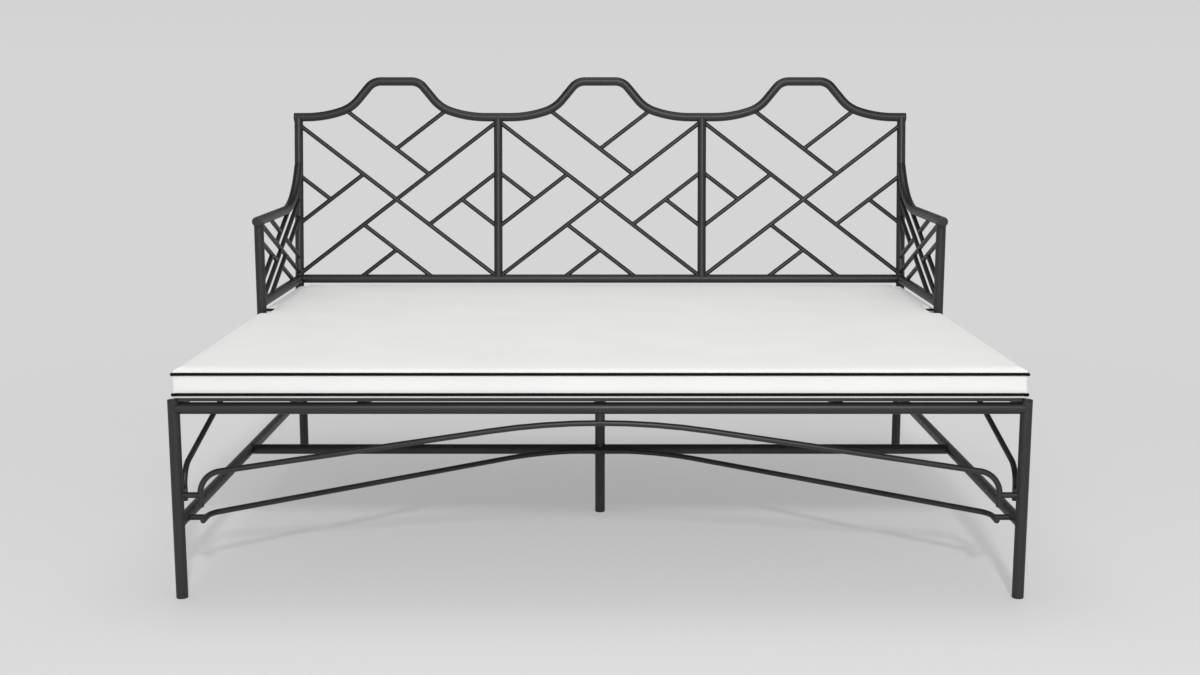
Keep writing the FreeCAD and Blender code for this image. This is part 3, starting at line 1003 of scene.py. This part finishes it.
@dataclass
class Welds:
    """A small smooth bead round every joint, where a bar's end meets the bar that holds it."""

    steel: Steelwork
    bead: float = 0.9 * MM
    points_round: int = 28
    sides: int = 8
    search: float = 3 * MM
    flattest: float = 0.35  # sine of the flattest meeting that gets a bead
    reach: float = 3.5  # host radii searched back along the bar
    step: float = 0.1 * MM
    stand_off: float = 0.25 * MM  # from the host's skin to the middle of the bead

    def loop(self, bar: Bar, at_start: bool, host: Bar) -> Optional[np.ndarray]:
        """Find the curve in which a bar's skin meets its host's.

        Args:
            bar: The bar that ends.
            at_start: Whether its first end is meant.
            host: The bar that it meets.

        Returns:
            The curve's points, or None where the two run nearly alike.
        """
        line = bar.points()[::-1] if at_start else bar.points()
        end = line[-1]
        along = line[-1] - line[-2]
        along /= np.linalg.norm(along)
        host_line = host.points()
        runs = np.diff(host_line, axis=0)
        middles = (host_line[1:] + host_line[:-1]) / 2
        nearest = runs[int(np.argmin(np.linalg.norm(middles - end, axis=1)))]
        nearest = nearest / np.linalg.norm(nearest)
        side = np.cross(along, nearest)
        if np.linalg.norm(side) < self.flattest:
            return None
        side /= np.linalg.norm(side)
        other = np.cross(along, side)
        back = np.arange(-host.radius * self.reach, 5 * self.step, self.step)
        loop = []
        for index in range(self.points_round):
            angle = 2 * math.pi * index / self.points_round
            skin = end + (side * math.cos(angle) + other * math.sin(angle)) * bar.radius
            points = skin[None] + back[:, None] * along[None]
            away = distance_to_line(points, host_line)
            inside = np.nonzero(away < host.radius + self.stand_off)[0]
            loop.append(points[inside[0]] if len(inside) else points[-1])
        return np.array(loop)

    def build(self, finish: Material) -> None:
        """Sweep the beads, one piece for each part of the frame.

        Args:
            finish: The steel's finish.
        """
        everything = [(node, bar) for node, bars in self.steel.nodes.items() for bar in bars]
        loops: dict[str, list[np.ndarray]] = {"back_welds": [], "arm_welds": [], "base_welds": []}
        lines = [bar.points() for _, bar in everything]
        for index, (node, bar) in enumerate(everything):
            group = "arm_welds" if node.startswith("arm") else "base_welds"
            if node.startswith(("back", "crest", "inner")):
                group = "back_welds"
            for at_start, free in ((True, bar.free_start), (False, bar.free_end)):
                if free:
                    continue
                end = lines[index][0 if at_start else -1]
                gaps = [
                    distance_to_line(end[None], line)[0] if other != index else math.inf
                    for other, line in enumerate(lines)
                ]
                host = int(np.argmin(gaps))
                if gaps[host] > self.search:
                    continue
                found = self.loop(bar, at_start, everything[host][1])
                if found is not None:
                    loops[group].append(found)
        for name, found in loops.items():
            piece = sweep(name, found, self.bead, self.sides, finish)
            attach(piece, "frame")


# Turned pieces
@dataclass
class TurnedPieces:
    """Caps on the open tube ends and glides under the legs, turned from profiles.

    A profile gives shares of the tube's radius and heights in millimetres, from one pole to the other.
    """

    sides: int = 40
    cap_profile: tuple[tuple[float, float], ...] = (
        (0, 0),
        (0.96, 0),
        (0.98, 0.25),
        (1, 0.5),
        (1, 1.1),
        (0.985, 1.5),
        (0.94, 1.8),
        (0.8, 1.95),
        (0, 2),
    )
    glide_profile: tuple[tuple[float, float], ...] = (
        (0, 0),
        (0.86, 0),
        (0.95, 0.25),
        (1, 0.9),
        (1, 2.1),
        (0.97, 2.4),
        (0.8, 2.4),
        (0.8, 10),
        (0, 10),
    )

    def turn(
        self, node: str, profile: tuple, seats: list[tuple[Vector, Vector]], finish: Material
    ) -> Object:
        """Turn a profile round an axis at each seat.

        Args:
            node: The CAD node that the piece stands for.
            profile: The profile.
            seats: Each a point on the axis and the axis's direction.
            finish: The piece's finish.

        Returns:
            The piece.
        """
        vertices: list[Vector] = []
        faces: list[list[int]] = []
        for seat, axis in seats:
            side = axis.orthogonal().normalized()
            other = axis.cross(side)
            rings = []
            for share, height in profile:
                centre = seat + axis * (height * MM)
                count = self.sides if share else 1
                rings.append(list(range(len(vertices), len(vertices) + count)))
                for index in range(count):
                    angle = 2 * math.pi * index / count
                    spoke = side * math.cos(angle) + other * math.sin(angle)
                    vertices.append(centre + spoke * (share * Stock.TUBE.value))
            for low, high in zip(rings, rings[1:]):
                faces += band(low, high)
        piece = mesh_object(f"{node}_turned", vertices, (), faces)
        smooth_by_angle(piece.data)
        piece.data.materials.append(finish)
        LOG.info("%s: %d faces", piece.name, len(piece.data.polygons))
        return piece

    def caps(self, node: str, seats: list[tuple[Vector, Vector]], finish: Material) -> None:
        """Close tube ends with lightly domed discs.

        Args:
            node: The CAD node of the discs.
            seats: The middle of each disc's inner face, and its outward direction.
            finish: The steel's finish.
        """
        piece = self.turn(node, self.cap_profile, seats, finish)
        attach(piece, "frame")
        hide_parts(node)

    def glides(self, feet: list[Vector], finish: Material) -> None:
        """Set a glide under each leg.

        Args:
            feet: The points where the legs' axes meet the floor.
            finish: The glides' finish.
        """
        seats = [(foot, UP) for foot in feet]
        piece = self.turn("foot_glides", self.glide_profile, seats, finish)
        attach(piece, "frame")
        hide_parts("foot_glides")


# Mattress
@dataclass
class Mattress:
    """The piped mattress: cover with crown and drawn-in sides, notched for the arm posts."""

    cover: Material
    cord: Material
    corner_radius: float = 6 * MM
    low_seam_rise: float = 9.1 * MM
    crown_rise: float = 10.7 * MM
    crown_width: float = 13 * MM
    side_draw: float = 2 * MM
    base_tuck: float = 3 * MM
    notch_inset: float = 23.2 * MM
    notch_front_gap: float = 50 * MM
    notch_rear_gap: float = 63 * MM
    corner_gap: float = 9 * MM
    piping_radius: float = 3.2 * MM
    piping_proud: float = 2.7 * MM
    side_piping_proud: float = 0.2 * MM  # along the sides the crown rolls over it
    side_piping_drop: float = 1.8 * MM
    piping_sides: int = 16
    coarse: float = 26 * MM
    beside_edge: tuple[float, ...] = (0, 0.8, 2, 3.6, 6, 9, 13, 20, 32)  # millimetres
    short_share: float = 0.4  # of a short stretch, as far as it is divided from either end
    side_rows: int = 8
    pressure: float = 4.0
    quality: int = 6
    frames: int = 20
    top_cap: float = 2.0 * MM  # as far as the cloth may move, there and on the sides
    side_cap: float = 1.6 * MM

    def __post_init__(self) -> None:
        """Read the mattress's box and the posts from the CAD."""
        low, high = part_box("mattress_cover")
        self.base, self.top = low.z, high.z
        self.edge, self.front, self.rear = high.x, low.y, high.y
        self.wall = self.edge - self.notch_inset
        post = centre_of("arm_post_right")
        self.notch_front = post.y - self.notch_front_gap
        self.notch_rear = post.y + self.notch_rear_gap
        self.corner = centre_of("rear_leg_right").y - Stock.TUBE.value - self.corner_gap
        self.low_seam = self.base + self.low_seam_rise
        self.high_seam = self.top - self.crown_rise

    def outline(self) -> np.ndarray:
        """Give the plan's corners.

        Returns:
            The corners, counter-clockwise.
        """
        right = [
            (self.edge, self.front),
            (self.edge, self.notch_front),
            (self.wall, self.notch_front),
            (self.wall, self.notch_rear),
            (self.edge, self.notch_rear),
            (self.edge, self.corner),
            (self.wall, self.corner),
            (self.wall, self.rear),
        ]
        return np.array(right + [(-x, y) for x, y in reversed(right)])

    def stops(self, start: float, end: float) -> list[float]:
        """Divide a stretch, closely beside its ends and coarsely between.

        Args:
            start: The stretch's start.
            end: The stretch's end.

        Returns:
            The stops, without the last.
        """
        near = [stop * MM for stop in self.beside_edge]
        length = end - start
        if length < 2 * near[-1]:
            near = [stop for stop in near if stop < length * self.short_share]
        inner = length - 2 * near[-1]
        count = max(1, round(inner / self.coarse))
        middle = [near[-1] + inner * i / count for i in range(1, count)]
        far = [length - n for n in reversed(near[1:])]
        return [start + stop for stop in [*near, *middle, *far]]

    def sheet(self) -> tuple[np.ndarray, list[list[int]], list[int], np.ndarray]:
        """Divide the plan into a grid that leaves the notches out.

        Returns:
            The points in plan, the faces, the outline's point numbers in order, and each point's
            distance from the outline.
        """
        xs: list[float] = []
        for start, end in ((-self.edge, -self.wall), (-self.wall, self.wall), (self.wall, self.edge)):
            xs += self.stops(start, end)
        xs.append(self.edge)
        cuts = [self.front, self.notch_front, self.notch_rear, self.corner, self.rear]
        ys: list[float] = []
        for start, end in zip(cuts, cuts[1:]):
            ys += self.stops(start, end)
        ys.append(self.rear)

        def solid(x: float, y: float) -> bool:
            """Tell whether a cell's middle lies in the mattress."""
            full_width = y < self.notch_front or self.notch_rear < y < self.corner
            return full_width or abs(x) < self.wall

        numbers: dict[tuple[int, int], int] = {}
        points: list[tuple[float, float]] = []
        faces: list[list[int]] = []
        for i in range(len(xs) - 1):
            for j in range(len(ys) - 1):
                if not solid((xs[i] + xs[i + 1]) / 2, (ys[j] + ys[j + 1]) / 2):
                    continue
                face = []
                for a, b in ((i, j), (i + 1, j), (i + 1, j + 1), (i, j + 1)):
                    if (a, b) not in numbers:
                        numbers[a, b] = len(points)
                        points.append((xs[a], ys[b]))
                    face.append(numbers[a, b])
                faces.append(face)
        plan = np.array(points)
        return self.round_corners(plan), faces, self.rim(faces), self.away(plan)

    @staticmethod
    def rim(faces: list[list[int]]) -> list[int]:
        """Walk the outline of a sheet of faces.

        Args:
            faces: Faces turned counter-clockwise.

        Returns:
            The outline's point numbers, counter-clockwise.
        """
        edges = {(a, b) for face in faces for a, b in zip(face, face[1:] + face[:1])}
        following = {a: b for a, b in edges if (b, a) not in edges}
        start = min(following)
        loop = [start]
        while following[loop[-1]] != start:
            loop.append(following[loop[-1]])
        return loop

    def away(self, plan: np.ndarray) -> np.ndarray:
        """Measure each point's distance from the square-cornered outline.

        Args:
            plan: The points in plan.

        Returns:
            One distance for each point.
        """
        corners = self.outline()
        flat = np.zeros((len(corners) + 1, 3))
        flat[:, :2] = np.vstack([corners, corners[:1]])
        points = np.zeros((len(plan), 3))
        points[:, :2] = plan
        return distance_to_line(points, flat)

    def round_corners(self, plan: np.ndarray) -> np.ndarray:
        """Ease the four outer corners, each square of the grid drawn onto a quarter disc.

        Args:
            plan: The points in plan.

        Returns:
            The points, those at the corners moved.
        """
        made = plan.copy()
        radius = self.corner_radius
        for x_edge, y_edge, way in ((self.edge, self.front, -1), (self.wall, self.rear, 1)):
            for sign in (-1, 1):
                u = (sign * plan[:, 0] - (x_edge - radius)) / radius
                v = (way * plan[:, 1] - (way * y_edge - radius)) / radius
                inside = (u > 0) & (v > 0)
                share = np.maximum(u, v) / np.maximum(np.hypot(u, v), TINY)
                made[inside, 0] = sign * (x_edge - radius + u * share * radius)[inside]
                made[inside, 1] = way * (way * y_edge - radius + v * share * radius)[inside]
        return made

    def outward(self, loop: np.ndarray) -> np.ndarray:
        """Give the offset that moves a counter-clockwise loop outwards by one, mitred at corners.

        Args:
            loop: The loop's points in plan.

        Returns:
            One offset for each point.
        """
        runs = np.roll(loop, -1, axis=0) - loop
        normals = np.stack([runs[:, 1], -runs[:, 0]], axis=1)
        normals /= np.linalg.norm(normals, axis=1)[:, None]
        before = np.roll(normals, 1, axis=0)
        total = normals + before
        return total / (1 + (normals * before).sum(1))[:, None]

    def form(self) -> tuple[Object, dict[str, np.ndarray]]:
        """Build the cover as one closed mesh.

        Returns:
            The cover, and the point numbers of its regions.
        """
        plan, faces, rim, away = self.sheet()
        count = len(plan)
        crown, tuck = (
            np.sqrt(np.clip(1 - (1 - np.clip(away / width, 0, 1)) ** 2, 0, 1))
            for width in (self.crown_width, self.base_tuck)
        )
        top = np.column_stack([plan, self.high_seam + self.crown_rise * crown])
        bottom = np.column_stack([plan, self.low_seam - self.low_seam_rise * tuck])
        loop = plan[rim]
        offset = self.outward(loop)
        vertices = [top, bottom]
        all_faces = [list(face) for face in faces]
        all_faces += [[count + i for i in reversed(face)] for face in faces]
        rings = [[count + i for i in rim]]
        total = 2 * count
        for row in range(1, self.side_rows):
            share = row / self.side_rows
            inset = self.side_draw * 4 * share * (1 - share)  # a parabola, deepest halfway up
            height = self.low_seam + (self.high_seam - self.low_seam) * share
            vertices.append(np.column_stack([loop - offset * inset, np.full(len(loop), height)]))
            rings.append(list(range(total, total + len(loop))))
            total += len(loop)
        rings.append(list(rim))
        for low, high in zip(rings, rings[1:]):
            all_faces += band(low, high)
        piece = mesh_object("mattress_cover_sewn", np.concatenate(vertices), (), all_faces)
        regions = {
            "seams": np.array([*rim, *[count + i for i in rim]]),
            "bottom": np.arange(count, 2 * count),
            "top": np.arange(count),
            "loop": loop,
            "offset": offset,
        }
        return piece, regions

    def swell(self, piece: Object, regions: dict[str, np.ndarray]) -> None:
        """Fill the cover by a short cloth simulation, with its seams and underside held.

        Args:
            piece: The cover.
            regions: The point numbers of its regions.
        """
        held = piece.vertex_groups.new(name="held")
        held.add([int(i) for i in {*regions["seams"], *regions["bottom"]}], 1.0, "REPLACE")
        rest = coordinates(piece.data)
        cloth = piece.modifiers.new("cloth", "CLOTH")
        cloth.settings.vertex_group_mass = "held"
        cloth.settings.use_pressure = True
        cloth.settings.uniform_pressure_force = self.pressure
        cloth.settings.effector_weights.gravity = 0
        cloth.settings.quality = self.quality
        cloth.collision_settings.use_collision = False
        cloth.point_cache.frame_start = 1
        cloth.point_cache.frame_end = self.frames
        scene = bpy.context.scene
        for step in range(1, self.frames + 1):
            scene.frame_set(step)
        graph = bpy.context.evaluated_depsgraph_get()
        push = coordinates(piece.evaluated_get(graph).data) - rest
        piece.modifiers.remove(cloth)
        scene.frame_set(1)
        limit = np.full(len(rest), self.side_cap)
        limit[regions["top"]] = self.top_cap
        length = np.linalg.norm(push, axis=1)
        soft = limit * np.tanh(length / limit)
        scale = np.where(length > TINY, soft / np.maximum(length, TINY), 0)
        final = rest + push * scale[:, None]
        piece.data.vertices.foreach_set("co", final.ravel())
        piece.data.update()
        piece.vertex_groups.clear()
        LOG.info("cloth moved the cover by up to %.1f mm", float((length * scale).max()) / MM)

    def build(self) -> None:
        """Build the cover and both lines of piping."""
        piece, regions = self.form()
        self.swell(piece, regions)
        smooth = piece.modifiers.new("smooth", "SUBSURF")
        smooth.levels = smooth.render_levels = 1
        for face in piece.data.polygons:
            face.use_smooth = True
        piece.data.materials.append(self.cover)
        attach(piece, "mattress")
        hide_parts("mattress_cover", "mattress_core")
        LOG.info("%s: %d faces", piece.name, len(piece.data.polygons))
        for node, height in (("piping_lower", self.low_seam), ("piping_upper", self.high_seam)):
            self.piping(node, height, regions)

    def piping(self, node: str, height: float, regions: dict[str, np.ndarray]) -> None:
        """Sew a line of piping round a seam.

        Args:
            node: The CAD node that it stands for.
            height: The seam's height.
            regions: Holds the seam's loop and its outward offsets.
        """
        offset = regions["offset"]
        loop = regions["loop"] + offset * (self.side_piping_proud, self.piping_proud)
        drop = self.side_piping_drop * np.clip(np.abs(offset[:, 0]), 0, 1)
        line = np.column_stack([loop, height - drop])
        cord = sweep(f"{node}_cord", [line], self.piping_radius, self.piping_sides, self.cord)
        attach(cord, "mattress")
        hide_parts(node)


# Studio
@dataclass
class Studio:
    """Pale floor that runs into a pale backdrop, soft lights and the camera."""

    floor_colour: str = "#e6e6e6"
    floor_roughness: float = 0.9
    floor_specular: float = 0.1
    floor_reach: float = 60.0
    near_colour: str = "#dddddd"  # the floor's own shade as it is seen, under and round the bed
    far_colour: str = "#d5d5d5"
    high_colour: str = "#cdcdcd"
    ceiling_colour: str = "#484848"  # above the backdrop, where it darkens the tubes' upper edges
    fade: tuple[float, float] = (1.3, 3.6)  # metres out where the far colour starts and is full
    rise: tuple[float, float] = (0.0, 0.12)  # the same for the high colour, as a share of straight up
    ceiling: tuple[float, float] = (0.2, 0.45)
    lift: float = 0.43  # share of its own shade that the floor keeps in the bed's shadow
    camera_height: float = 1.0906
    camera_depth: float = -3.8848
    pitch: float = 9.39
    lens: float = 45.65
    sensor: float = 36.0
    clip: tuple[float, float] = (0.05, 400)
    key_light: tuple = ((0.45, -6.2, 3.55), (0.4, 0.4), 214.0)  # place, size and power of each lamp
    top_light: tuple = ((0.0, 0.35, 4.2), (2.8, 2.0), 36.0)
    aim: tuple[float, float, float] = (0, 0, 0.45)
    world_strength: float = 0.49

    def build(self) -> None:
        """Set up the stage, the lights and the camera."""
        self.floor()
        self.world()
        self.lamp("key_light", *self.key_light)
        self.lamp("top_light", *self.top_light)
        self.camera()

    @staticmethod
    def shades(
        tree: NodeTree, way: NodeSocket, first: str, others: tuple
    ) -> tuple[NodeSocket, NodeSocket]:
        """Run softly from colour to colour along a distance.

        Args:
            tree: The tree that takes the nodes.
            way: The distance.
            first: The first colour.
            others: Each further colour, with the distances where it starts and is full.

        Returns:
            The last colour's share, and the colour.
        """
        colour: object = linear(first)
        for other, (start, full) in others:
            reach = {0: way, 1: start, 2: full, 3: 0.0, 4: 1.0}
            step = add_node(tree, "ShaderNodeMapRange", reach, interpolation_type="SMOOTHSTEP")
            share = step.outputs[0]
            mixed = {0: share, 6: colour, 7: linear(other)}
            colour = add_node(tree, "ShaderNodeMix", mixed, data_type="RGBA").outputs[2]
        return share, colour

    @staticmethod
    def looked_at(tree: NodeTree) -> NodeSocket:
        """Tell what is seen, mirrored or looked through from what only lights.

        Args:
            tree: The tree that takes the nodes.

        Returns:
            A socket that gives one for what is looked at, and zero elsewhere.
        """
        path = add_node(tree, "ShaderNodeLightPath").outputs
        seen = path["Is Camera Ray"]
        for other in ("Is Glossy Ray", "Is Transmission Ray"):
            either = {0: seen, 1: path[other]}
            seen = add_node(tree, "ShaderNodeMath", either, operation="MAXIMUM").outputs[0]
        return seen

    def floor(self) -> None:
        """Lay the floor, matt under the bed and fading into the backdrop's shade all round it."""
        reach = self.floor_reach
        corners = [(-reach, -reach, 0), (reach, -reach, 0), (reach, reach, 0), (-reach, reach, 0)]
        ground = mesh_object("studio_floor", corners, (), [[0, 1, 2, 3]])
        made, tree, shader = new_material("matt_studio_floor")
        shader.inputs["Base Color"].default_value = linear(self.floor_colour)
        shader.inputs["Roughness"].default_value = self.floor_roughness
        shader.inputs["Specular IOR Level"].default_value = self.floor_specular
        place = add_node(tree, "ShaderNodeTexCoord").outputs["Object"]
        away = add_node(tree, "ShaderNodeVectorMath", {0: place}, operation="LENGTH").outputs["Value"]
        fade, shade = self.shades(tree, away, self.near_colour, ((self.far_colour, self.fade),))
        own = add_node(tree, "ShaderNodeEmission", {"Color": shade, "Strength": 1.0})
        lift = add_node(tree, "ShaderNodeMapRange", {0: fade, 3: self.lift, 4: 1.0}).outputs[0]
        share = add_node(tree, "ShaderNodeMath", {0: lift, 1: self.looked_at(tree)}, operation="MULTIPLY")
        mixed = {0: share.outputs[0], 1: shader.outputs[0], 2: own.outputs[0]}
        both = add_node(tree, "ShaderNodeMixShader", mixed)
        tree.links.new(both.outputs[0], tree.nodes["Material Output"].inputs["Surface"])
        ground.data.materials.append(made)

    def world(self) -> None:
        """Light the scene evenly from all round, and hang the pale backdrop behind it."""
        world = bpy.data.worlds.new("studio_world")
        bpy.context.scene.world = world
        world.use_nodes = True
        tree = world.node_tree
        light = tree.nodes["Background"]
        light.inputs["Color"].default_value = (1, 1, 1, 1)
        light.inputs["Strength"].default_value = self.world_strength
        way = add_node(tree, "ShaderNodeTexCoord").outputs["Generated"]
        height = add_node(tree, "ShaderNodeSeparateXYZ", {0: way}).outputs["Z"]
        others = ((self.high_colour, self.rise), (self.ceiling_colour, self.ceiling))
        _, shade = self.shades(tree, height, self.far_colour, others)
        seen = add_node(tree, "ShaderNodeBackground", {"Color": shade, "Strength": 1.0})
        mixed = {0: self.looked_at(tree), 1: light.outputs[0], 2: seen.outputs[0]}
        both = add_node(tree, "ShaderNodeMixShader", mixed)
        tree.links.new(both.outputs[0], tree.nodes["World Output"].inputs["Surface"])

    def lamp(self, name: str, place: tuple, size: tuple[float, float], power: float) -> None:
        """Hang a soft lamp that faces the mattress.

        Args:
            name: The lamp's name.
            place: Where it hangs.
            size: Its width and height.
            power: Its power in watts.
        """
        light = bpy.data.lights.new(name, "AREA")
        light.shape = "RECTANGLE"
        light.size, light.size_y = size
        light.energy = power
        hung = bpy.data.objects.new(name, light)
        bpy.context.scene.collection.objects.link(hung)
        hung.location = place
        way = Vector(self.aim) - Vector(place)
        hung.rotation_euler = way.to_track_quat("-Z", "Y").to_euler()

    def camera(self) -> None:
        """Put the camera where the photograph was taken from."""
        eye = bpy.data.cameras.new("studio_camera")
        eye.sensor_fit = "HORIZONTAL"
        eye.sensor_width = self.sensor
        eye.lens = self.lens
        eye.clip_start, eye.clip_end = self.clip
        stand = bpy.data.objects.new("studio_camera", eye)
        bpy.context.scene.collection.objects.link(stand)
        stand.location = (0, self.camera_depth, self.camera_height)
        stand.rotation_euler = (math.radians(90 - self.pitch), 0, 0)
        bpy.context.scene.camera = stand


def main() -> None:
    """Build the daybed's looks around the frame."""
    logging.basicConfig(level=logging.INFO, format="%(name)s: %(message)s")
    bpy.context.scene.view_settings.view_transform = "Standard"
    coat = PowderCoatedSteel().material()
    steel = Steelwork(coat)
    BaseFrame(steel).lay_out()
    back = Back(steel)
    back.lay_out()
    Arms(steel, back).lay_out()
    steel.build()
    Welds(steel).build(coat)

    turned = TurnedPieces()
    leg_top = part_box("leg_caps")[0].z
    legs = [centre_of(f"front_leg_{side}") for side in SIDES]
    leg_ends = [(Vector((leg.x, leg.y, leg_top)), UP) for leg in legs]
    turned.caps("leg_caps", leg_ends, coat)
    turned.caps("crest_caps", back.crest_ends(), coat)
    arm_ends = [(steel.nodes[f"arm_rail_{side}"][0].line[0], Vector((0, -1, 0))) for side in SIDES]
    turned.caps("arm_rail_caps", arm_ends, coat)
    legs += [centre_of(node) for node in ("rear_leg_left", "rear_leg_right", "centre_leg")]
    turned.glides([Vector((leg.x, leg.y, 0)) for leg in legs], MouldedPlastic().material())

    for name in ("deck_straps", "back_spigot_left", "back_spigot_right"):
        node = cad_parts[name]
        node.data.materials.clear()
        node.data.materials.append(coat)
    Mattress(WovenCover().material(), PipingCloth().material()).build()
    Studio().build()


if __name__ == "__main__":
    main()
